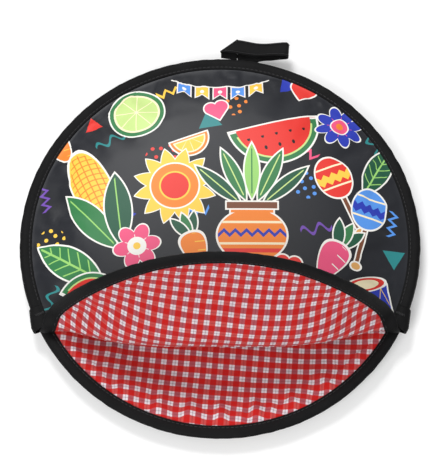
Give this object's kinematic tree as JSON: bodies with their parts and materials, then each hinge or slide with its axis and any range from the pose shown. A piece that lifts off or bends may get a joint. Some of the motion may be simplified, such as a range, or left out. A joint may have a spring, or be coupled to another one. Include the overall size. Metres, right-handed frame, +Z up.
{
  "type": "tortilla warmer pouch",
  "caption": "Round insulated fabric pouch with a printed cover, check lining, taped rim, a fold-up mouth flap and a hang loop, for keeping flatbread warm.",
  "frame": {"origin": "on the table, under the centre of the round pouch", "axes": "+Z up; the mouth looks along -Y; +X is to the right, seen from the mouth"},
  "size_m": [0.305, 0.3208, 0.1185],
  "materials": {
    "printed_cover": "smooth satin woven polyester, dark with a coloured print",
    "wadding": "soft polyester wadding",
    "check_lining": "plain woven cotton in a red and white check",
    "binding_tape": "matt black woven tape",
    "thread": "black sewing thread",
    "strap": "matt black woven tape, doubled and sewn"
  },
  "bodies": {
    "pouch": {"lower_cover": "printed_cover", "lower_wadding": "wadding", "lower_lining": "check_lining", "upper_cover": "printed_cover", "upper_wadding": "wadding", "upper_lining": "check_lining", "seam_binding": "binding_tape", "lip_binding": "binding_tape", "left_corner_tape": "binding_tape", "right_corner_tape": "binding_tape", "seam_thread": "thread", "lip_thread": "thread", "corner_bartacks": "thread"},
    "mouth_flap": {"flap_cover": "printed_cover", "flap_wadding": "wadding", "flap_lining": "check_lining", "flap_binding": "binding_tape", "flap_thread": "thread"},
    "loop": {"hang_loop": "strap", "loop_thread": "thread"}
  },
  "joints": [
    {"name": "flap_fold", "type": "hinge", "parent": "pouch", "child": "mouth_flap", "pos_m": [0, -0.06685, 0.0344], "axis": [-1, 0, 0], "range_deg": [-115, 30]},
    {"name": "loop_swing", "type": "hinge", "parent": "pouch", "child": "loop", "pos_m": [0.02143, 0.1525, 0.016], "axis": [0.9903, -0.1392, 0], "range_deg": [-40, 60]}
  ]
}
